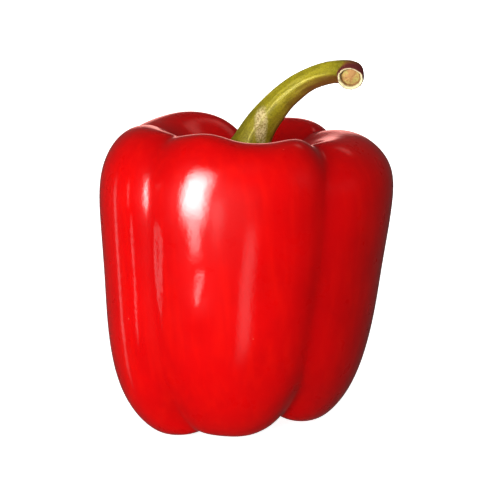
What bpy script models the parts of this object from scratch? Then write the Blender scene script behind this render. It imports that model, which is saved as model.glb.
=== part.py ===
"""Red bell pepper standing on its lobes, with its calyx and its cut stem.

The fruit is one closed body: a wall section is spun round the growth axis, and each of its
points then moves out onto the nearest lobe or in towards the nearest groove. The calyx lies
on the floor of the hollow at the top, and the stem rises from it and bends over to its cut end.
Run it with: blender --background --python part.py
"""

from math import atan2, cos, degrees, pi, radians, sin, sqrt

import bmesh
import bpy
from mathutils import Vector

MM = 0.001

# Driving dimensions, in millimetres and degrees. The front is -Y and angles run anticlockwise from +X.
SPIN_STEPS = 80  # columns of faces round the fruit
SECTION_STEPS = 3  # rows of faces between two stations of the wall section
LEAN = 0.105  # sideways drift of the growth axis, in mm of X for each mm of height
LEAN_LEVEL = 68.0  # height at which the leaning axis crosses the middle
FOOT_BITE = 0.4  # how far the feet are pressed flat by the fruit's weight
ARC = 0.93  # roundness of a lobe: 1 is a half circle between two grooves
LEAST_SOFTNESS = 0.02  # keeps the bottom of a groove from being a knife edge
GAP = 0.3  # clearance between pieces that touch
SHARP_ANGLE = 50.0  # an edge that turns more than this is shaded sharp
MERGE = 1e-5  # vertices closer than this are one

# The wall section from the middle of the top hollow, over the shoulder, down to the bottom hollow.
# Each station: crest radius and height, how far a groove cuts in and down, how softly it is
# rounded, how much of a lobe's own lift, shoulder, reach and foot it takes, how far the grooves
# have turned from their top angle (0) to their foot angle (1) and past it, and the front lobe's
# crease.
SECTION = [
    # r, z, groove in, groove down, softness, lift, shoulder, reach, foot, turn, crease
    (0.0, 77.5, 0.0, 0.0, 0.30, 0.0, 0.0, 0.0, 0.0, 0.0, 0.0),
    (8.0, 77.9, 0.0, 0.0, 0.30, 0.0, 0.0, 0.0, 0.0, 0.0, 0.0),
    (14.5, 81.4, 0.6, 1.0, 0.20, 0.2, 0.1, 0.0, 0.0, 0.0, 0.1),
    (20.5, 86.2, 1.7, 2.9, 0.14, 0.7, 0.5, 0.0, 0.0, 0.0, 0.6),
    (27.5, 89.6, 3.4, 3.6, 0.12, 1.0, 0.9, 0.0, 0.0, 0.1, 1.0),
    (35.0, 87.9, 4.0, 4.0, 0.14, 0.9, 1.0, 0.2, 0.0, 0.2, 0.9),
    (41.0, 81.6, 4.4, 2.4, 0.18, 0.5, 0.7, 0.6, 0.0, 0.4, 0.6),
    (43.9, 73.2, 4.1, 0.8, 0.24, 0.1, 0.2, 1.0, 0.0, 0.5, 0.4),
    (43.4, 60.8, 3.2, 0.0, 0.30, 0.0, 0.0, 1.0, 0.0, 0.6, 0.3),
    (41.8, 46.8, 2.8, 0.0, 0.32, 0.0, 0.0, 1.0, 0.0, 0.7, 0.2),
    (40.2, 31.0, 3.2, -1.0, 0.28, 0.0, 0.0, 1.0, 0.1, 0.8, 0.1),
    (36.9, 17.0, 3.8, -3.4, 0.20, 0.0, 0.0, 0.8, 0.5, 0.9, 0.0),
    (31.4, 6.6, 5.6, -6.6, 0.12, 0.0, 0.0, 0.4, 0.9, 1.0, 0.0),
    (23.5, 0.0, 3.4, -8.6, 0.10, 0.0, 0.0, 0.2, 1.0, 1.3, 0.0),
    (15.0, 2.9, 4.0, -8.2, 0.12, 0.0, 0.0, 0.0, 0.6, 1.4, 0.0),
    (8.0, 8.6, 1.4, -2.0, 0.20, 0.0, 0.0, 0.0, 0.2, 1.4, 0.0),
    (0.0, 10.8, 0.0, 0.0, 0.30, 0.0, 0.0, 0.0, 0.0, 1.4, 0.0),
]

# Each lobe runs from its own groove to the next one. A groove has an angle and a depth, as a
# share of the section's groove, at the top and at the foot. Lift raises the lobe's shoulder, and
# shoulder, reach and foot push the lobe out at the shoulder, the side and the foot. Sway turns
# the groove along the side only.
LOBES = {
    # groove angle at top, at foot, groove depth at top, at foot, lift, shoulder, reach, foot, sway
    "back_right": (34.5, 45.0, 0.75, 0.75, -1.2, 0.0, -0.8, 0.0, 0.0),
    "back_left": (94.0, 110.0, 1.50, 0.80, 2.3, 4.2, -1.0, 0.0, 0.0),
    "left": (168.5, 180.5, 0.52, 0.60, 3.2, 3.6, 0.8, 0.6, 0.0),
    "front": (212.5, 233.0, 0.62, 0.35, 2.9, -1.9, -2.6, -3.4, 2.5),
    "right": (316.5, 312.0, 0.95, 0.63, -2.8, -1.6, 0.0, 1.5, -9.5),
}
CREASE_ANGLE = 272.8  # middle of the shallow crease down the front lobe
CREASE_HALF = 39.0  # its half width, in degrees
CREASE_DEPTH = 3.4  # how far it dips on the shoulder

CALYX_REACH = 1.72  # how far out along the wall section the calyx spreads, in stations
CALYX_TEETH = 5
CALYX_TOOTH = 0.20  # how far each tooth stands out, in stations
CALYX_TURN = 20.0  # turns the teeth round the stem
CALYX_THICK = 1.5  # thickness near the middle
CALYX_THINNING = 0.6  # share of the thickness that is lost towards the rim
CALYX_STEPS = 60  # columns of faces round the calyx
CALYX_RINGS = 5  # rings of faces from the middle to the rim
CALYX_BOSS = 7.0  # radius of the flat boss that the stem stands on
CALYX_BOSS_TOP = 80.6  # height of the boss

# The stem's line from the calyx to the cut end, and its radius at each point.
STEM_LINE = [
    # x, y, z, radius
    (-3.0, 0.0, 77.0, 7.6),
    (0.2, -0.1, 83.5, 5.9),
    (3.3, -0.3, 89.0, 4.9),
    (7.4, -0.8, 94.2, 4.2),
    (12.2, -1.8, 99.0, 3.7),
    (17.8, -3.8, 102.9, 3.3),
    (23.4, -7.0, 105.3, 3.1),
    (28.0, -11.0, 106.2, 3.2),
    (30.2, -14.6, 105.8, 3.8),
    (30.0, -17.2, 104.8, 3.8),
]
STEM_STEPS = 4  # rings between two points of the line
STEM_FOOT = CALYX_BOSS_TOP + GAP  # height of the stem's flat foot


def between(table, at):
    """The row of the table at a fractional index, on a smooth curve through its rows."""
    last = len(table) - 1
    low = min(int(at), last - 1)
    t = at - low
    p0, p1, p2, p3 = (table[min(max(low + k, 0), last)] for k in (-1, 0, 1, 2))
    return tuple(
        0.5 * (2 * b + (c - a) * t + (2 * a - 5 * b + 4 * c - d) * t * t + (3 * b - a - 3 * c + d) * t**3)
        for a, b, c, d in zip(p0, p1, p2, p3)
    )


def smooth(t):
    t = min(max(t, 0.0), 1.0)
    return t**3 * (t * (6 * t - 15) + 10)


def lobe_at(angle, turn, side):
    """(place across the lobe from -1 to 1, depth of its grooves, and the lobe's own amounts)."""
    lobes = [(top + turn * (foot - top) + side * sway, deep + turn * (shallow - deep), *own)
             for top, foot, deep, shallow, *own, sway in LOBES.values()]
    for i, lobe in enumerate(lobes):
        after = lobes[(i + 1) % len(lobes)]
        width = (after[0] - lobe[0]) % 360
        along = (angle - lobe[0]) % 360
        if along < width:
            break
    across = 2 * along / width - 1
    depth = lobe[1] + smooth(along / width) * (after[1] - lobe[1])
    other = lobes[i - 1] if across < 0 else after
    share = smooth(0.5 + 0.5 * (1 - abs(across)))  # one half at a groove, where two lobes meet
    own = [share * a + (1 - share) * b for a, b in zip(lobe[2:], other[2:])]
    return across, depth, *own


def bulge(across, softness):
    """1 on a lobe's crest and 0 in the groove: an arc of a circle, rounded at the groove."""
    inset = 1 - abs(across)
    rounded = (sqrt(inset**2 + softness**2) - softness) / (sqrt(1 + softness**2) - softness)
    flat = sqrt(1 - ARC**2)
    return (sqrt(1 - (ARC * (1 - rounded)) ** 2) - flat) / (1 - flat)


def fruit_point(angle, station):
    """The skin's point, in mm, at an angle in degrees round the axis and a station down the wall."""
    r, z, cut_in, cut_down, softness, *shares, turn, crease_share = between(SECTION, station)
    across, depth, *own = lobe_at(angle, turn, shares[2])
    lift, shoulder, reach, foot = (share * amount for share, amount in zip(shares, own))
    groove = depth * (1 - bulge(across, max(softness, LEAST_SOFTNESS)))
    off_crease = abs((angle - CREASE_ANGLE + 180) % 360 - 180)
    crease = CREASE_DEPTH * crease_share * smooth(1 - off_crease / CREASE_HALF)
    r += shoulder + reach + foot - groove * cut_in
    z += lift - groove * cut_down - crease * shares[0]
    return Vector((r * cos(radians(angle)) + LEAN * (z - LEAN_LEVEL), r * sin(radians(angle)), z))


def new_object(name, bm, colour, roughness):
    bmesh.ops.recalc_face_normals(bm, faces=bm.faces)
    mesh = bpy.data.meshes.new(name)
    bm.to_mesh(mesh)
    bm.free()
    mesh.shade_smooth()
    mesh.set_sharp_from_angle(angle=radians(SHARP_ANGLE))
    material = bpy.data.materials.new(name)
    material.use_nodes = True
    shader = material.node_tree.nodes["Principled BSDF"]
    shader.inputs["Base Color"].default_value = (*colour, 1.0)
    shader.inputs["Roughness"].default_value = roughness
    mesh.materials.append(material)
    obj = bpy.data.objects.new(name, mesh)
    bpy.context.scene.collection.objects.link(obj)
    return obj


def spun(rows, steps):
    """A closed shell of that many rows of faces, spun round Z. Each vertex keeps its row as "place"."""
    bm = bmesh.new()
    place = bm.verts.layers.float.new("place")
    line = []
    for row in range(rows + 1):
        radius = 0.0 if row in (0, rows) else 1.0
        vert = bm.verts.new((radius, 0.0, row))
        vert[place] = row
        line.append(vert)
    edges = [bm.edges.new(pair) for pair in zip(line, line[1:])]
    bmesh.ops.spin(bm, geom=line + edges, cent=(0, 0, 0), axis=(0, 0, 1), angle=2 * pi, steps=steps,
                   use_merge=True)
    bmesh.ops.remove_doubles(bm, verts=bm.verts, dist=MERGE)
    return bm, place


def cut_flat(bm, height):
    """Cuts away what lies below that height, in mm, and closes the cut with flat faces."""
    cut = bmesh.ops.bisect_plane(bm, geom=bm.verts[:] + bm.edges[:] + bm.faces[:], dist=1e-6,
                                 plane_co=(0, 0, height * MM), plane_no=(0, 0, -1), clear_outer=True)
    rims = [item for item in cut["geom_cut"] if isinstance(item, bmesh.types.BMEdge)]
    bmesh.ops.holes_fill(bm, edges=rims)


def make_fruit():
    """The one-piece fruit, spun from the wall section and then pushed out into its lobes."""
    bm, place = spun((len(SECTION) - 1) * SECTION_STEPS, SPIN_STEPS)
    for vert in bm.verts:
        angle = degrees(atan2(vert.co.y, vert.co.x))
        vert.co = fruit_point(angle, vert[place] / SECTION_STEPS) * MM
    cut_flat(bm, FOOT_BITE)
    return bm


def make_calyx():
    """The green cap: it follows the floor of the hollow and ends in short blunt teeth."""
    bm, place = spun(2 * CALYX_RINGS, CALYX_STEPS)
    for vert in bm.verts:
        angle = degrees(atan2(vert.co.y, vert.co.x))
        tooth = CALYX_TOOTH * cos(radians(CALYX_TEETH * angle + CALYX_TURN))
        on_top = vert[place] <= CALYX_RINGS
        share = (vert[place] if on_top else 2 * CALYX_RINGS - vert[place]) / CALYX_RINGS
        point = fruit_point(angle, share * (CALYX_REACH + tooth))
        point.z += GAP
        if on_top:
            point.z += CALYX_THICK * (1 - CALYX_THINNING * share**2)
            axis = Vector((LEAN * (point.z - LEAN_LEVEL), 0.0))
            if (point.xy - axis).length < CALYX_BOSS:
                point.z = CALYX_BOSS_TOP
        vert.co = point * MM
    return bm


def make_stem():
    """The stem as a tube along its line, with a flat foot on the calyx and a flat cut end."""
    count = (len(STEM_LINE) - 1) * STEM_STEPS
    points = [between(STEM_LINE, k / STEM_STEPS) for k in range(count + 1)]
    curve = bpy.data.curves.new("stem_line", "CURVE")
    curve.dimensions = "3D"
    curve.bevel_depth = MM
    curve.bevel_resolution = 4
    curve.use_fill_caps = True
    spline = curve.splines.new("POLY")
    spline.points.add(count)
    lean = LEAN * (STEM_LINE[0][2] - LEAN_LEVEL)
    for point, (x, y, z, radius) in zip(spline.points, points):
        point.co = ((x + lean) * MM, y * MM, z * MM, 1.0)
        point.radius = radius
    guide = bpy.data.objects.new("stem_line", curve)
    bpy.context.scene.collection.objects.link(guide)
    bpy.context.view_layer.update()
    tube = guide.evaluated_get(bpy.context.evaluated_depsgraph_get()).to_mesh()
    bm = bmesh.new()
    bm.from_mesh(tube)
    bmesh.ops.remove_doubles(bm, verts=bm.verts, dist=MERGE)
    bpy.data.objects.remove(guide)
    cut_flat(bm, STEM_FOOT)
    return bm


def centre_on_origin(objects):
    """Moves the pieces together, so that the origin is under the middle of the whole pepper."""
    corners = [vert.co for obj in objects for vert in obj.data.vertices]
    low = Vector(min(c[k] for c in corners) for k in range(3))
    high = Vector(max(c[k] for c in corners) for k in range(3))
    middle = (low + high) / 2
    for obj in objects:
        obj.location = (-middle.x, -middle.y, -low.z)


def main():
    for obj in list(bpy.data.objects):
        bpy.data.objects.remove(obj)
    fruit = new_object("fruit", make_fruit(), (0.72, 0.010, 0.014), 0.2)
    calyx = new_object("calyx", make_calyx(), (0.16, 0.23, 0.02), 0.5)
    stem = new_object("stem", make_stem(), (0.33, 0.31, 0.02), 0.4)
    centre_on_origin([fruit, calyx, stem])


main()
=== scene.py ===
# A ripe red bell pepper standing on its lobes, with its calyx and its cut stem.
# Shapes are worked out in millimetres, with the front at -Y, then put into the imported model's place.

from math import atan2, cos, degrees, exp, pi, radians, sin, sqrt, tan

import bmesh
import bpy
from mathutils import Matrix, Vector, noise


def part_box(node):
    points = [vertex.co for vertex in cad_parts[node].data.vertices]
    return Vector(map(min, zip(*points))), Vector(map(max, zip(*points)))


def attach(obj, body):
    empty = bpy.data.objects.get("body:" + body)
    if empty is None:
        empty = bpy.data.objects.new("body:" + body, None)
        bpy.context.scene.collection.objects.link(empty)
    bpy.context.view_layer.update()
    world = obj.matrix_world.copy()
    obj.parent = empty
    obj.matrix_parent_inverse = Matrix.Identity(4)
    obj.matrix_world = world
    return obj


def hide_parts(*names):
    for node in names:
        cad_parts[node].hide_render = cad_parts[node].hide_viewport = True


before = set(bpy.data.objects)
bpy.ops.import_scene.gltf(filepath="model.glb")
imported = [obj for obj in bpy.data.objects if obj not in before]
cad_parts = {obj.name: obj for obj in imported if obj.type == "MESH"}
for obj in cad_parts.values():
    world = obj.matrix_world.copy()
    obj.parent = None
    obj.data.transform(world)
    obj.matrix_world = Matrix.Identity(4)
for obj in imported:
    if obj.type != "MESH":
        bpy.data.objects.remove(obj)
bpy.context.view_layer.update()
mm = 0.001


def linear(hexColour):  # sRGB hex to the linear values that shaders use
    channels = [int(hexColour[k:k + 2], 16) / 255 for k in (1, 3, 5)]
    return (*(c / 12.92 if c <= 0.04045 else ((c + 0.055) / 1.055) ** 2.4 for c in channels), 1.0)


def ease(t):
    t = min(max(t, 0.0), 1.0)
    return t * t * t * (t * (6 * t - 15) + 10)


def between(table, at):  # smooth curve through the table's rows, read at a fractional row
    last = len(table) - 1
    low = min(max(int(at), 0), last - 1)
    t = at - low
    rows = (table[min(max(low + k, 0), last)] for k in (-1, 0, 1, 2))
    return [
        0.5 * (2 * b + (c - a) * t + (2 * a - 5 * b + 4 * c - d) * t * t + (3 * b - a - 3 * c + d) * t**3)
        for a, b, c, d in zip(*rows)
    ]


def spunShell(rows, steps):  # closed shell with that many rows of faces; each vertex keeps its row
    bm = bmesh.new()
    place = bm.verts.layers.float.new("place")
    line = []
    for row in range(rows + 1):
        vert = bm.verts.new((0.0 if row in (0, rows) else 1.0, 0.0, row))
        vert[place] = row
        line.append(vert)
    edges = [bm.edges.new(pair) for pair in zip(line, line[1:])]
    bmesh.ops.spin(bm, geom=line + edges, cent=(0, 0, 0), axis=(0, 0, 1), angle=2 * pi, steps=steps,
                   use_merge=True)
    bmesh.ops.remove_doubles(bm, verts=bm.verts, dist=1e-5)
    return bm, place


def finishPiece(name, bm, material, node, levels):
    bmesh.ops.recalc_face_normals(bm, faces=bm.faces)
    mesh = bpy.data.meshes.new(name)
    bm.to_mesh(mesh)
    bm.free()
    mesh.shade_smooth()
    mesh.materials.append(material)
    piece = bpy.data.objects.new(name, mesh)
    bpy.context.scene.collection.objects.link(piece)
    smoother = piece.modifiers.new("smoother", "SUBSURF")
    smoother.levels = levels
    smoother.render_levels = levels
    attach(piece, "root")
    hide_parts(node)
    print(f"{name}: {len(mesh.polygons)} faces before {levels} levels of subdivision")


def addNode(tree, kind, inputs=None, output=0, **settings):  # inputs hold a socket to join or a value
    made = tree.nodes.new("ShaderNode" + kind)
    for name, value in settings.items():
        setattr(made, name, value)
    for socket, value in (inputs or {}).items():
        if isinstance(value, bpy.types.NodeSocket):
            tree.links.new(value, made.inputs[socket])
        else:
            made.inputs[socket].default_value = value
    return made.outputs[output] if len(made.outputs) else made


# The fruit's wall is a table of stations, from the middle of the top hollow to the bottom hollow.
# Lengths here and below are in mm and angles in degrees, unless a note says otherwise.
fruit = {
    "columns": 112,  # round the axis, before subdivision
    "gather": 0.5,  # how much closer together the columns stand in a groove
    "rowsPerStation": 3,
    "subdivision": 2,
    "lean": 0.105,  # drift of the growth axis towards +X for each mm of height
    "leanLevel": 68.0,
    "footBite": 0.4,  # how far the lobe ends are pressed flat
    "arc": 0.97,  # roundness of a lobe, 1 for a half circle between two grooves
    "leastSoftness": 0.02,
    "blur": 0.35,  # stations over which the wall is evened out
    "creaseAngle": 272.8,
    "creaseHalf": 39.0,
    "creaseDepth": 3.4,
    "swell": ((24.0, 0.45), (9.0, 0.07)),  # size and height of the wall's uneven growth
    "swellUpright": 0.55,  # below 1, the uneven growth is drawn out upwards
    "calmEnds": 4,  # stations next to either pole over which it fades
    # small swellings that break up the gloss: angle, z, size and height
    "swellings": ((247.0, 42.6, 4.2, 1.0), (263.0, 62.0, 6.0, -0.10), (255.0, 30.0, 7.0, -0.12),
                  (226.0, 74.0, 7.0, 0.5)),
    # r, z, groove in, groove down, softness, lift, shoulder, reach, foot, turn, crease
    "wall": [
        (0.0, 77.5, 0.0, 0.0, 0.30, 0.0, 0.0, 0.0, 0.0, 0.0, 0.0),
        (8.0, 77.9, 0.0, 0.0, 0.30, 0.0, 0.0, 0.0, 0.0, 0.0, 0.0),
        (14.5, 81.4, 0.6, 1.0, 0.20, 0.2, 0.1, 0.0, 0.0, 0.0, 0.1),
        (20.5, 86.2, 1.7, 2.9, 0.14, 0.7, 0.5, 0.0, 0.0, 0.0, 0.6),
        (27.5, 89.6, 3.4, 3.6, 0.12, 1.0, 0.9, 0.0, 0.0, 0.1, 1.0),
        (35.0, 87.9, 4.0, 4.0, 0.14, 0.9, 1.0, 0.2, 0.0, 0.3, 0.9),
        (41.0, 81.6, 4.4, 2.4, 0.12, 0.5, 0.7, 0.6, 0.0, 0.54, 0.6),
        (43.9, 73.2, 4.3, 0.8, 0.11, 0.1, 0.2, 1.0, 0.0, 0.64, 0.4),
        (43.4, 60.8, 3.7, 0.0, 0.11, 0.0, 0.0, 1.0, 0.0, 0.66, 0.3),
        (41.8, 46.8, 3.4, 0.0, 0.11, 0.0, 0.0, 1.0, 0.0, 0.7, 0.2),
        (40.2, 31.0, 3.5, -1.0, 0.12, 0.0, 0.0, 1.0, 0.1, 0.8, 0.1),
        (36.9, 17.0, 3.8, -3.4, 0.12, 0.0, 0.0, 0.8, 0.5, 0.9, 0.0),
        (31.4, 6.6, 5.6, -6.6, 0.12, 0.0, 0.0, 0.4, 0.9, 1.0, 0.0),
        (23.5, 0.0, 3.4, -8.6, 0.10, 0.0, 0.0, 0.2, 1.0, 1.3, 0.0),
        (15.0, 2.9, 4.0, -8.2, 0.12, 0.0, 0.0, 0.0, 0.6, 1.4, 0.0),
        (8.0, 8.6, 1.4, -2.0, 0.20, 0.0, 0.0, 0.0, 0.2, 1.4, 0.0),
        (0.0, 10.8, 0.0, 0.0, 0.30, 0.0, 0.0, 0.0, 0.0, 1.4, 0.0),
    ],
    # each lobe starts at its own groove:
    # groove angle at top, at foot, groove depth at top, at foot, lift, shoulder, reach, foot, groove sway
    "lobes": {
        "backRight": (34.5, 45.0, 0.75, 0.75, -1.2, 0.0, -0.8, 0.0, 0.0),
        "backLeft": (94.0, 110.0, 1.50, 0.80, 2.3, 4.2, -1.0, 0.0, 0.0),
        "left": (168.5, 180.5, 0.52, 0.60, 3.2, 3.6, 0.8, 0.6, 0.0),
        "front": (212.5, 233.0, 0.58, 0.30, 2.9, -1.9, -2.6, -3.4, 2.5),
        "right": (316.5, 312.0, 0.95, 0.63, -2.8, -1.6, 0.0, 1.5, -9.5),
    },
}


def wallAt(station):  # the wall's row at a station, evened out a little
    last = len(fruit["wall"]) - 1
    reach = fruit["blur"] / 2 * min(1.0, station, last - station)  # the two poles stay where they are
    rows = [between(fruit["wall"], station + k * reach) for k in (-2, -1, 0, 1, 2)]
    return [sum(column) / len(rows) for column in zip(*rows)]


def lobeAround(angle, turn, swayShare):  # the lobes at that level, the one at the angle, its extent
    lobes = [(top + turn * (foot - top) + swayShare * sway, deep + turn * (shallow - deep), *own)
             for top, foot, deep, shallow, *own, sway in fruit["lobes"].values()]
    for i, lobe in enumerate(lobes):
        after = lobes[(i + 1) % len(lobes)]
        width = (after[0] - lobe[0]) % 360
        along = (angle - lobe[0]) % 360
        if along < width:
            break
    return lobes, i, lobe, after, width, along


def gathered(angle, wall):  # moves evenly spread columns towards the grooves
    r, z, cutIn, cutDown, softness, lift, shoulder, reach, foot, turn, crease = wall
    width, along = lobeAround(angle, turn, reach)[-2:]
    return angle - fruit["gather"] * width / (2 * pi) * sin(2 * pi * along / width)


def lobeAt(angle, turn, swayShare):  # place across the lobe, -1 to 1, groove depth and own amounts
    lobes, i, lobe, after, width, along = lobeAround(angle, turn, swayShare)
    across = 2 * along / width - 1
    depth = lobe[1] + (after[1] - lobe[1]) * ease(along / width)
    other = lobes[i - 1] if across < 0 else after
    share = ease(0.5 + 0.5 * (1 - abs(across)))
    own = [share * a + (1 - share) * b for a, b in zip(lobe[2:], other[2:])]
    return across, depth, own


def bulge(across, softness):  # 1 on a lobe's crest, 0 in the groove
    inset = 1 - abs(across)
    rounded = (sqrt(inset**2 + softness**2) - softness) / (sqrt(1 + softness**2) - softness)
    flat = sqrt(1 - fruit["arc"] ** 2)
    return (sqrt(1 - (fruit["arc"] * (1 - rounded)) ** 2) - flat) / (1 - flat)


def fruitPoint(angle, wall):  # the skin's point, and how deep in a groove it lies
    r, z, cutIn, cutDown, softness, *shares, turn, creaseShare = wall
    across, depth, own = lobeAt(angle, turn, shares[2])
    lift, shoulder, reach, foot = (share * amount for share, amount in zip(shares, own))
    groove = depth * (1 - bulge(across, max(softness, fruit["leastSoftness"])))
    offCrease = abs((angle - fruit["creaseAngle"] + 180) % 360 - 180)
    crease = fruit["creaseDepth"] * creaseShare * ease(1 - offCrease / fruit["creaseHalf"])
    r += shoulder + reach + foot - groove * cutIn
    z += lift - groove * cutDown - crease * shares[0]
    x = r * cos(radians(angle)) + fruit["lean"] * (z - fruit["leanLevel"])
    return Vector((x, r * sin(radians(angle)), z)), groove


def makeFruit():
    perStation = fruit["rowsPerStation"]
    last = len(fruit["wall"]) - 1
    bm, place = spunShell(last * perStation, fruit["columns"])
    inGroove = bm.verts.layers.float.new("groove")
    station = bm.verts.layers.float.new("station")
    walls = [wallAt(row / perStation) for row in range(last * perStation + 1)]
    for vert in bm.verts:
        row = round(vert[place])
        angle = gathered(degrees(atan2(vert.co.y, vert.co.x)), walls[row])
        point, groove = fruitPoint(angle, walls[row])
        vert[inGroove] = groove
        vert[station] = row / perStation
        vert.co = point
    bm.normal_update()
    for vert in bm.verts:
        fade = ease(min(vert[station], last - vert[station]) / fruit["calmEnds"])
        upright = Vector((vert.co.x, vert.co.y, fruit["swellUpright"] * vert.co.z))
        uneven = sum(height * noise.noise(upright / size) for size, height in fruit["swell"])
        here = degrees(atan2(vert.co.y, vert.co.x))
        for angle, z, size, height in fruit["swellings"]:
            off = radians((here - angle + 180) % 360 - 180) * vert.co.xy.length
            uneven += height * exp(-(off**2 + (vert.co.z - z) ** 2) / size**2)
        vert.co += vert.normal * uneven * fade
        vert.co.z = max(vert.co.z, fruit["footBite"])
    return bm


# the stem follows a centre line from its foot on the calyx to its cut end
stem = {
    "columns": 64,
    "rowsPerPoint": 5,
    "subdivision": 1,
    # x, y, z, radius
    "line": [
        (-1.9, 0.0, 79.7, 7.2),
        (0.2, -0.1, 83.5, 5.8),
        (3.3, -0.3, 89.0, 4.9),
        (7.4, -0.8, 94.2, 4.2),
        (12.2, -1.8, 99.0, 3.7),
        (17.8, -3.8, 102.9, 3.3),
        (23.4, -7.0, 105.3, 3.1),
        (28.0, -11.0, 106.2, 3.2),
        (30.2, -14.6, 105.8, 3.8),
        (30.0, -17.2, 104.8, 3.8),
    ],
    "ribs": 5,
    "ribTurn": 0.9,  # in radians
    "ribHeight": 0.28,
    "knotHeight": 0.16,  # uneven growth
    "knotSize": (3.0, 7.0),  # across and along the stem
    "neck": 0.86,  # share of the stem's way where the cut end starts to swell
    "torn": 0.22,  # how ragged the cut is
    # the cut end from its rim inwards: share of the radius, how far it is sunk
    "cut": [
        (0.985, -0.16),
        (0.94, -0.26),
        (0.87, -0.24),
        (0.80, -0.05),
        (0.765, 0.50),
        (0.73, 1.00),
        (0.64, 1.10),
        (0.48, 0.80),
        (0.30, 0.55),
        (0.14, 0.42),
        (0.0, 0.40),
    ],
}


def makeStem():
    per = stem["rowsPerPoint"]
    along = (len(stem["line"]) - 1) * per
    bm, place = spunShell(1 + along + len(stem["cut"]), stem["columns"])
    inCut = bm.verts.layers.float.new("cut")
    way = bm.verts.layers.float.new("way")
    grain = bm.verts.layers.float_vector.new("grain")  # the stem laid out straight, in metres
    lean = fruit["lean"] * (stem["line"][0][2] - fruit["leanLevel"])
    centres = [between(stem["line"], k / per) for k in range(along + 1)]
    points = [Vector((x + lean, y, z)) for x, y, z, r in centres]
    frames = []
    travelled = [0.0]
    side = Vector((0, 1, 0))
    wide, tall = stem["knotSize"]
    for k, point in enumerate(points):
        forward = (points[min(k + 1, along)] - points[max(k - 1, 0)]).normalized()
        side = (side - forward * side.dot(forward)).normalized()  # carried along without twisting
        frames.append((forward, side, forward.cross(side)))
        if k:
            travelled.append(travelled[-1] + (point - points[k - 1]).length)
    for vert in bm.verts:
        row = round(vert[place])
        angle = atan2(vert.co.y, vert.co.x)
        k = min(max(row - 1, 0), along)
        forward, side, up = frames[k]
        radius = centres[k][3]
        rib = stem["ribHeight"] * (0.5 + 0.5 * cos(stem["ribs"] * (angle + stem["ribTurn"]))) ** 2
        laidOut = Vector((cos(angle) * radius, sin(angle) * radius, travelled[k]))
        inKnots = Vector((laidOut.x / wide, laidOut.y / wide, laidOut.z / tall))
        knot = stem["knotHeight"] * noise.noise(inKnots)
        share, sink = 1.0, 0.0
        if row == 0:
            share = 0.0
        elif row > along + 1:
            share, sink = stem["cut"][row - along - 2]
        nearCut = ease((k / along - stem["neck"]) / (1 - stem["neck"]))
        torn = stem["torn"] * nearCut * noise.noise(Vector((3 * cos(angle), 3 * sin(angle), 4.1)))
        reach = (radius + rib * (1 - nearCut) + knot + torn) * share
        vert.co = points[k] + (side * cos(angle) + up * sin(angle)) * reach - forward * (sink + torn)
        vert[inCut] = 1 - share if row > along + 1 else 0.0
        vert[way] = k / along
        vert[grain] = laidOut * share * mm
    return bm


# the calyx is a thin cap that lies on the fruit and ends in blunt teeth
calyx = {
    "columns": 120,
    "rings": 12,
    "subdivision": 1,
    "reach": 1.72,  # spread, in stations of the fruit's wall
    "teeth": 5,
    "tooth": 0.20,
    "ragged": 0.05,  # of its edge, in stations too
    "turn": 20.0,
    "thick": 1.5,
    "thinning": 0.62,
    "gap": 0.3,
    "rib": 0.45,
    "curl": 0.35,
    "boss": 9.0,  # radius at the boss's foot
    "bossSlope": 3.5,
    "bossTop": 80.6,
}


def makeCalyx():
    rings = calyx["rings"]
    bm, place = spunShell(2 * rings, calyx["columns"])
    spread = bm.verts.layers.float.new("spread")
    ribLine = bm.verts.layers.float.new("rib")
    for vert in bm.verts:
        angle = degrees(atan2(vert.co.y, vert.co.x))
        phase = cos(radians(calyx["teeth"] * angle + calyx["turn"]))
        around = Vector((4 * cos(radians(angle)), 4 * sin(radians(angle)), 1.7))
        ragged = calyx["ragged"] * noise.noise(around)
        onTop = vert[place] <= rings
        share = (vert[place] if onTop else 2 * rings - vert[place]) / rings
        point, groove = fruitPoint(angle, wallAt(share * (calyx["reach"] + calyx["tooth"] * phase + ragged)))
        point.z += calyx["gap"] + calyx["curl"] * share**6 * (0.6 + 0.4 * phase)
        rib = (0.5 + 0.5 * phase) ** 4 * ease(share / 0.5) * ease((1 - share) / 0.3)
        if onTop:
            point.z += calyx["thick"] * (1 - calyx["thinning"] * share**2) + calyx["rib"] * rib
            axis = Vector((fruit["lean"] * (point.z - fruit["leanLevel"]), 0.0))
            inBoss = ease((calyx["boss"] - (point.xy - axis).length) / calyx["bossSlope"])
            point.z += (calyx["bossTop"] - point.z) * inBoss
        vert[spread] = share
        vert[ribLine] = rib
        vert.co = point
    return bm


def newMaterial(name):
    material = bpy.data.materials.new(name)
    material.use_nodes = True
    tree = material.node_tree
    return material, tree, tree.nodes["Principled BSDF"]


def remap(tree, value, low, high, to=1.0, start=0.0):
    ends = {"From Min": low, "From Max": high, "To Min": start, "To Max": to}
    return addNode(tree, "MapRange", {"Value": value, **ends})


def grains(tree, vector, size, detail=2.0):  # noise with blotches of that size in mm
    return addNode(tree, "TexNoise", {"Vector": vector, "Scale": 1000 / size, "Detail": detail})


def mixed(tree, factor, a, b):
    return addNode(tree, "Mix", {0: factor, 6: a, 7: b}, output=2, data_type="RGBA")


def timesPlus(tree, a, b, c):
    return addNode(tree, "Math", {0: a, 1: b, 2: c}, operation="MULTIPLY_ADD")


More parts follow.
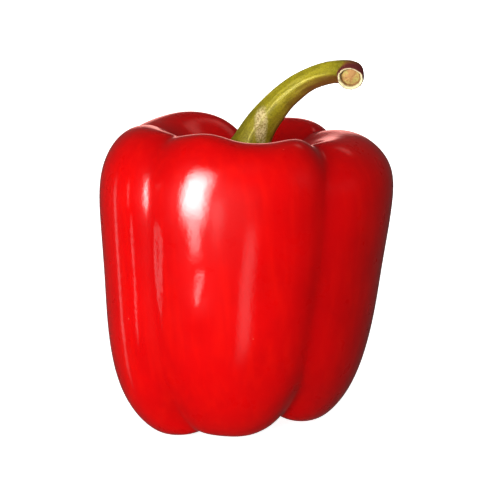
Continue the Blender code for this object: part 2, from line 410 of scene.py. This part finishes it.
# Ripe pepper skin, grown, under its natural wax: one deep clear red that stays red in the shade,
# a sharp wet gloss from the wax, and a faint orange-peel grain where the gloss fades.
skin = {
    "red": "#DE0406",
    "deepRed": "#B80205",  # blotches
    # painted shade: the red is darkened deep in the grooves, where shade falls
    "grooveShadeRed": "#A80206",
    "liveRed": "#F01206",  # thin streaks where the flesh is nearer the surface
    "bloom": "#FFA8A0",
    "fleck": "#F0705A",  # tiny corky breathing spots
    "pit": "#4C0A06",
    "scar": "#7A5A34",  # where the flower sat
    "scarStation": 15.9,  # on the fruit's wall
    "scarGrain": 1.6,
    "blotchSize": 17.0,
    "streakSize": 2.6,
    "patchSize": 6.0,  # patches of duller and glossier skin
    "fleckSpacing": 15.0,
    "pitSpacing": 30.0,
    "peelSize": 1.25,  # the grain of the skin, drawn a little coarser than real so that it shows
    "fineSize": 0.45,
    "peelHeight": 0.026,
    "fineHeight": 0.004,
    "pitDepth": 0.06,
}


def pepperSkin():
    material, tree, shader = newMaterial("waxyPepperSkin")
    spot = addNode(tree, "TexCoord", output="Object")
    groove = addNode(tree, "Attribute", output="Fac", attribute_name="groove")
    station = addNode(tree, "Attribute", output="Fac", attribute_name="station")

    blotch = remap(tree, grains(tree, spot, skin["blotchSize"], 3.0), 0.38, 0.68, to=0.3)
    tall = addNode(tree, "Mapping", {"Vector": spot, "Scale": (1.0, 1.0, 0.09)})
    streak = remap(tree, grains(tree, tall, skin["streakSize"]), 0.45, 0.75, to=0.35)
    colour = mixed(tree, blotch, linear(skin["red"]), linear(skin["deepRed"]))
    colour = mixed(tree, streak, colour, linear(skin["liveRed"]))
    # painted shade: darker red the deeper a point lies in a groove
    colour = mixed(tree, remap(tree, groove, 0.1, 1.0, to=0.8), colour, linear(skin["grooveShadeRed"]))

    flecks = addNode(tree, "TexVoronoi", {"Vector": spot, "Scale": 1000 / skin["fleckSpacing"]})
    flecks = remap(tree, flecks, 0.020, 0.010, to=0.5)
    pits = addNode(tree, "TexVoronoi", {"Vector": spot, "Scale": 1000 / skin["pitSpacing"]})
    pits = remap(tree, pits, 0.013, 0.006, to=0.8)
    colour = mixed(tree, flecks, colour, linear(skin["fleck"]))
    colour = mixed(tree, pits, colour, linear(skin["pit"]))
    ragged = timesPlus(tree, grains(tree, spot, skin["scarGrain"], 4.0), 0.5, station)
    scar = remap(tree, ragged, skin["scarStation"], skin["scarStation"] + 0.1)
    colour = mixed(tree, scar, colour, linear(skin["scar"]))
    tree.links.new(colour, shader.inputs["Base Color"])

    rough = remap(tree, grains(tree, spot, skin["patchSize"], 4.0), 0.3, 0.7, start=0.26, to=0.36)
    tree.links.new(timesPlus(tree, scar, 0.4, rough), shader.inputs["Roughness"])

    bump = addNode(tree, "Bump", {"Height": grains(tree, spot, skin["peelSize"], 1.0),
                                  "Distance": skin["peelHeight"] * mm})
    bump = addNode(tree, "Bump", {"Height": grains(tree, spot, skin["fineSize"], 1.0),
                                  "Distance": skin["fineHeight"] * mm, "Normal": bump})
    bump = addNode(tree, "Bump", {"Height": pits, "Distance": skin["pitDepth"] * mm, "Normal": bump},
                   invert=True)
    tree.links.new(bump, shader.inputs["Normal"])
    tree.links.new(bump, shader.inputs["Coat Normal"])

    shader.inputs["IOR"].default_value = 1.45
    shader.inputs["Specular IOR Level"].default_value = 0.06  # the wax carries the gloss
    shader.inputs["Sheen Weight"].default_value = 0.16  # bloom of the wax, seen on edges lit from behind
    shader.inputs["Sheen Roughness"].default_value = 0.3
    shader.inputs["Sheen Tint"].default_value = linear(skin["bloom"])
    shader.inputs["Coat Weight"].default_value = 1.0
    shader.inputs["Coat Roughness"].default_value = 0.07
    shader.inputs["Coat IOR"].default_value = 1.45
    shader.inputs["Subsurface Weight"].default_value = 0.2  # moist flesh lets the red glow into the shade
    shader.inputs["Subsurface Radius"].default_value = (1.0, 0.08, 0.05)
    shader.inputs["Subsurface Scale"].default_value = 3.0 * mm
    return material


# Pepper stalk, grown and cut with a knife: olive green rind with fibres along it, a corky
# grey-buff rub mark low on the front, a bruised brown-purple collar, and a cut end with a
# pale woody ring round a tan pith.
stalk = {
    "green": "#A2961A",
    "darkGreen": "#716A12",
    "yellow": "#C8B944",
    "cork": "#DCCB92",
    "corkShade": "#A88F58",
    "collar": "#6C2A2C",
    "collarBrown": "#96602E",
    "ring": "#F2E8B8",
    "gap": "#8A6238",  # painted shade in the sunken step between ring and pith
    "pith": "#C08E58",
    "pithGreen": "#C6BA68",
    # painted shade, tinted by the fruit's red bounce light, for the stalk's downward-facing side
    "undersideShade": "#64301E",
    "gloss": "#FFF0A8",
    "fibreSize": 0.7,  # across the fibres
    "speckSize": 0.5,
    "mottleSize": 4.0,
    "marbleSize": 3.2,
    "rub": (5.2, -5.2, 91.4),  # middle of the rub mark
    "rubSquash": (1.4, 0.8, 0.42),  # above 1 makes the mark shorter, below 1 longer
    "rubEdge": (4.6, 3.0),  # where the mark starts and where it is full
    "rubRagged": 2.6,
    # where ring, painted step shade and pith begin and are full, as the share of the radius from the rim
    # inwards
    "ringEdge": (0.05, 0.08),
    "stepShadeEdge": (0.2, 0.25),
    "pithEdge": (0.29, 0.4),
}


def stemRind(shift):
    material, tree, shader = newMaterial("greenStalk")
    spot = addNode(tree, "TexCoord", output="Object")
    grain = addNode(tree, "Attribute", output="Vector", attribute_name="grain")
    cut = addNode(tree, "Attribute", output="Fac", attribute_name="cut")
    way = addNode(tree, "Attribute", output="Fac", attribute_name="way")
    normal = addNode(tree, "SeparateXYZ", {0: addNode(tree, "NewGeometry", output="Normal")}, output="Z")

    alongFibres = addNode(tree, "Mapping", {"Vector": grain, "Scale": (1.0, 1.0, 0.08)})
    fibre = grains(tree, alongFibres, stalk["fibreSize"], 3.0)
    mottle = grains(tree, grain, stalk["mottleSize"], 4.0)
    speck = grains(tree, grain, stalk["speckSize"], 1.0)
    dark = remap(tree, mottle, 0.4, 0.7, to=0.7)
    colour = mixed(tree, dark, linear(stalk["green"]), linear(stalk["darkGreen"]))
    colour = mixed(tree, remap(tree, fibre, 0.5, 0.75, to=0.55), colour, linear(stalk["yellow"]))
    colour = mixed(tree, remap(tree, speck, 0.52, 0.62, to=0.6), colour, linear(stalk["darkGreen"]))
    # painted shade: the more a surface faces down, the more it turns maroon-brown, standing in for shade and
    # the fruit's red bounce
    colour = mixed(tree, remap(tree, normal, -0.15, -0.65, to=0.85), colour, linear(stalk["undersideShade"]))

    middle = (Vector(stalk["rub"]) + shift) * mm
    placed = addNode(tree, "Mapping", {"Vector": spot, "Location": -middle})
    squashed = addNode(tree, "Mapping", {"Vector": placed, "Scale": stalk["rubSquash"]})
    near = addNode(tree, "VectorMath", {0: squashed}, output="Value", operation="LENGTH")
    near = timesPlus(tree, mottle, stalk["rubRagged"] * mm, near)
    rubbed = remap(tree, near, *(edge * mm for edge in stalk["rubEdge"]))
    worn = remap(tree, fibre, 0.36, 0.5, start=0.35)
    rubbed = addNode(tree, "Math", {0: rubbed, 1: worn}, operation="MULTIPLY")
    cork = mixed(tree, remap(tree, speck, 0.45, 0.62), linear(stalk["cork"]), linear(stalk["corkShade"]))
    colour = mixed(tree, rubbed, colour, cork)

    edge = timesPlus(tree, mottle, 0.16, way)
    bruise = remap(tree, edge, 0.925, 0.98)
    brown = mixed(tree, remap(tree, edge, 0.965, 1.03), linear(stalk["collarBrown"]), linear(stalk["collar"]))
    colour = mixed(tree, bruise, colour, brown)

    pores = grains(tree, spot, stalk["speckSize"], 2.0)
    marbled = timesPlus(tree, pores, 0.5, grains(tree, spot, stalk["marbleSize"], 2.0))
    pith = mixed(tree, remap(tree, marbled, 0.66, 0.84), linear(stalk["pith"]), linear(stalk["pithGreen"]))
    # painted shade: the pale ring darkens to brown at the sunken step before the pith
    inside = mixed(tree, remap(tree, cut, *stalk["stepShadeEdge"]), linear(stalk["ring"]), linear(stalk["gap"]))
    inside = mixed(tree, remap(tree, cut, *stalk["pithEdge"]), inside, pith)
    opened = remap(tree, cut, *stalk["ringEdge"])
    colour = mixed(tree, opened, colour, inside)
    tree.links.new(colour, shader.inputs["Base Color"])

    bare = addNode(tree, "Math", {0: rubbed, 1: opened}, operation="MAXIMUM")  # no rind there
    rough = remap(tree, speck, 0.3, 0.7, start=0.34, to=0.48)
    tree.links.new(timesPlus(tree, bare, 0.3, rough), shader.inputs["Roughness"])
    bump = addNode(tree, "Bump", {"Height": fibre, "Distance": 0.14 * mm})
    bump = addNode(tree, "Bump", {"Height": pores, "Distance": 0.06 * mm, "Normal": bump})
    tree.links.new(bump, shader.inputs["Normal"])
    shader.inputs["IOR"].default_value = 1.45
    shader.inputs["Specular IOR Level"].default_value = 0.6
    shader.inputs["Specular Tint"].default_value = linear(stalk["gloss"])
    shader.inputs["Coat Weight"].default_value = 0.02
    shader.inputs["Coat Roughness"].default_value = 0.3
    return material


# Pepper calyx, grown: a leathery dull green cap, paler along its ribs and browned at its edge.
cap = {
    "green": "#6E7A1C",
    "darkGreen": "#48560F",
    "rib": "#9AA03A",
    "edge": "#7A5B28",
    "mottleSize": 3.5,
    "speckSize": 0.5,
}


def calyxLeaf():
    material, tree, shader = newMaterial("leatheryCalyx")
    spot = addNode(tree, "TexCoord", output="Object")
    spread = addNode(tree, "Attribute", output="Fac", attribute_name="spread")
    rib = addNode(tree, "Attribute", output="Fac", attribute_name="rib")
    mottle = grains(tree, spot, cap["mottleSize"], 4.0)
    speck = grains(tree, spot, cap["speckSize"], 2.0)
    colour = mixed(tree, remap(tree, mottle, 0.35, 0.65), linear(cap["green"]), linear(cap["darkGreen"]))
    colour = mixed(tree, remap(tree, rib, 0.1, 0.9, to=0.7), colour, linear(cap["rib"]))
    colour = mixed(tree, remap(tree, speck, 0.55, 0.7, to=0.4), colour, linear(cap["darkGreen"]))
    edge = timesPlus(tree, mottle, 0.12, spread)
    colour = mixed(tree, remap(tree, edge, 0.99, 1.08, to=0.8), colour, linear(cap["edge"]))
    tree.links.new(colour, shader.inputs["Base Color"])
    tree.links.new(remap(tree, speck, 0.3, 0.7, start=0.42, to=0.6), shader.inputs["Roughness"])
    bump = addNode(tree, "Bump", {"Height": mottle, "Distance": 0.25 * mm})
    bump = addNode(tree, "Bump", {"Height": speck, "Distance": 0.08 * mm, "Normal": bump})
    tree.links.new(bump, shader.inputs["Normal"])
    return material


stage = {
    "distance": 600.0,  # from the camera to its aim
    "elevation": 12.0,
    "roll": 3.0,
    "fieldOfView": 14.25,
    "aim": (0.0, 0.0, 52.0),
    "floorSize": 3000.0,
    "room": 0.02,  # how bright the empty room is in reflections
    "haze": 0.13,  # and on the matt shading
}


def makeCamera():
    camera = bpy.data.cameras.new("camera")
    camera.angle = radians(stage["fieldOfView"])
    eye = bpy.data.objects.new("camera", camera)
    bpy.context.scene.collection.objects.link(eye)
    tilt = radians(stage["elevation"])
    back = Vector((0, -cos(tilt), sin(tilt)))
    look = (-back).to_track_quat("-Z", "Y").to_matrix().to_4x4()
    place = Matrix.Translation((Vector(stage["aim"]) + back * stage["distance"]) * mm)
    eye.matrix_world = place @ look @ Matrix.Rotation(radians(-stage["roll"]), 4, "Z")
    bpy.context.scene.camera = eye


# Light panels, each seen either in the gloss or on the matt shading: azimuth from the front, plus to
# the right, and elevation of the panel's middle, its width and height, all as seen from the object;
# its brightness, and the soft share of its edges.
panels = {
    "gloss": {
        "key": (-42.0, 21, 32, 78, 26.0, 0.46),
        "keyTail": (-43.0, -9, 15, 24, 5.0, 0.45),
        "keyFoot": (-39.0, -13.5, 16, 9, 4.0, 0.5),
        "keySide": (-26, 2, 16, 46, 1.0, 0.5),
        "front": (2, -25, 19, 46, 0.9, 0.5),
        "leftStrip": (-80, 12, 6, 36, 1.3, 0.45),
        "leftStripLow": (-75, -14, 6, 16, 1.3, 0.45),
        "farLeftStrip": (-108, -8, 10, 60, 0.8, 0.5),
        "back": (180, 4, 30, 30, 1.3, 0.4),
        "backTop": (147, 46, 26, 14, 0.7, 0.45),
    },
    "matt": {
        "softKey": (-24, 7, 84, 76, 4.3, 0.42),
        "softTop": (0, 62, 36, 36, 2.7, 0.5),
        "softLeft": (-110, 0, 36, 36, 1.1, 0.5),
        "softRight": (66, 28, 44, 36, 1.9, 0.5),
        "softBack": (178, 6, 60, 40, 3.0, 0.5),
    },
}
panelDistance = 900.0  # measured from the camera's aim
# panels held so close that only one lobe mirrors them: the place they are measured from, distance
closePanels = {
    "key": ((-15.5, -36.0, 73.0), 110.0),
    "keyTail": ((-15.5, -38.0, 60.0), 110.0),
    "keyFoot": ((-15.0, -37.5, 47.5), 45.0),
}
pinkPanels = ("back", "backTop")  # they give the far edges their pink gloss
panelColours = {"white": "#FFFFFF", "pink": "#FFA59C"}


def makePanel(name, kind, azimuth, elevation, width, height, bright, soft):
    spot, distance = closePanels.get(name, (stage["aim"], panelDistance))
    distance *= mm
    lamp = bpy.data.lights.new(name, "AREA")
    lamp.shape = "RECTANGLE"
    lamp.size = 2 * distance * tan(radians(width) / 2)
    lamp.size_y = 2 * distance * tan(radians(height) / 2)
    lamp.energy = 4 * bright * lamp.size * lamp.size_y  # as bright from any distance
    lamp.color = linear(panelColours["pink" if name in pinkPanels else "white"])[:3]
    lamp.use_nodes = True
    tree = lamp.node_tree
    across = addNode(tree, "NewGeometry", output="Parametric")
    fades = []
    for axis in ("X", "Y"):
        part = addNode(tree, "SeparateXYZ", {0: across}, output=axis)
        part = addNode(tree, "Math", {0: part, 1: 0.5}, operation="SUBTRACT")
        part = addNode(tree, "Math", {0: part}, operation="ABSOLUTE")
        fades.append(addNode(tree, "MapRange", {"Value": part, "From Min": 0.5, "From Max": 0.5 - soft},
                             interpolation_type="SMOOTHERSTEP"))
    both = addNode(tree, "Math", {0: fades[0], 1: fades[1]}, operation="MULTIPLY")
    tree.links.new(both, tree.nodes["Emission"].inputs["Strength"])
    a, e = radians(azimuth), radians(elevation)
    out = Vector((sin(a) * cos(e), -cos(a) * cos(e), sin(e)))
    holder = bpy.data.objects.new(name, lamp)
    holder.location = Vector(spot) * mm + out * distance
    holder.rotation_mode = "QUATERNION"
    holder.rotation_quaternion = (-out).to_track_quat("-Z", "Y")
    holder.visible_diffuse = kind == "matt"
    holder.visible_glossy = kind == "gloss"
    holder.visible_camera = False
    bpy.context.scene.collection.objects.link(holder)


def makeWorld():  # white behind the object, and a dimmer room in its reflections
    world = bpy.data.worlds.new("studio")
    world.use_nodes = True
    tree = world.node_tree
    tree.nodes.clear()
    seen = addNode(tree, "LightPath", output="Is Camera Ray")
    glossy = addNode(tree, "LightPath", output="Is Glossy Ray")
    room = addNode(tree, "MapRange", {"Value": glossy, "To Min": stage["haze"], "To Max": stage["room"]})
    strength = addNode(tree, "MapRange", {"Value": seen, "To Min": room, "To Max": 1.0})
    light = addNode(tree, "Background", {"Color": (1, 1, 1, 1), "Strength": strength})
    addNode(tree, "OutputWorld", {"Surface": light})
    bpy.context.scene.world = world


def makeFloor():
    bm = bmesh.new()
    bmesh.ops.create_circle(bm, cap_ends=True, radius=stage["floorSize"] * mm, segments=96)
    mesh = bpy.data.meshes.new("floor")
    bm.to_mesh(mesh)
    bm.free()
    material, tree, shader = newMaterial("whitePaper")  # matt, so bright that only the contact shade shows
    shader.inputs["Base Color"].default_value = linear("#E8E8E6")
    shader.inputs["Roughness"].default_value = 0.9
    shader.inputs["Specular IOR Level"].default_value = 0.0
    shader.inputs["Emission Color"].default_value = linear("#FFFFFF")
    spot = addNode(tree, "TexCoord", output="Object")
    away = addNode(tree, "VectorMath", {0: spot}, output="Value", operation="LENGTH")
    tree.links.new(remap(tree, away, 0.08, 0.3, start=0.92, to=1.1), shader.inputs["Emission Strength"])
    mesh.materials.append(material)
    floor = bpy.data.objects.new("floor", mesh)
    bpy.context.scene.collection.objects.link(floor)
    floor.visible_diffuse = False
    floor.visible_glossy = False
    floor.visible_shadow = False


def footMiddle(low, high):  # of a box
    return Vector(((low[0] + high[0]) / 2, (low[1] + high[1]) / 2, low[2]))


def shiftTo(node, bm):  # from the shape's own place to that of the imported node, in mm
    corners = [vert.co for vert in bm.verts]
    low = [min(c[k] for c in corners) for k in range(3)]
    high = [max(c[k] for c in corners) for k in range(3)]
    return footMiddle(*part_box(node)) / mm - footMiddle(low, high)


fruitMesh = makeFruit()
stemMesh = makeStem()
calyxMesh = makeCalyx()
shift = shiftTo("fruit", fruitMesh)
intoPlace = Matrix.Scale(mm, 4) @ Matrix.Translation(shift)
for bm in (fruitMesh, stemMesh, calyxMesh):
    bmesh.ops.transform(bm, matrix=intoPlace, verts=bm.verts)

finishPiece("pepper_fruit", fruitMesh, pepperSkin(), "fruit", fruit["subdivision"])
finishPiece("pepper_stem", stemMesh, stemRind(shift), "stem", stem["subdivision"])
finishPiece("pepper_calyx", calyxMesh, calyxLeaf(), "calyx", calyx["subdivision"])
bpy.data.objects["pepper_stem"].visible_glossy = False  # keeps the stalk out of the skin's gloss

makeCamera()
for kind, ofKind in panels.items():
    for name, values in ofKind.items():
        makePanel(name, kind, *values)
makeWorld()
makeFloor()
bpy.context.scene.view_settings.view_transform = "Standard"
print("stage: camera, light panels, floor")
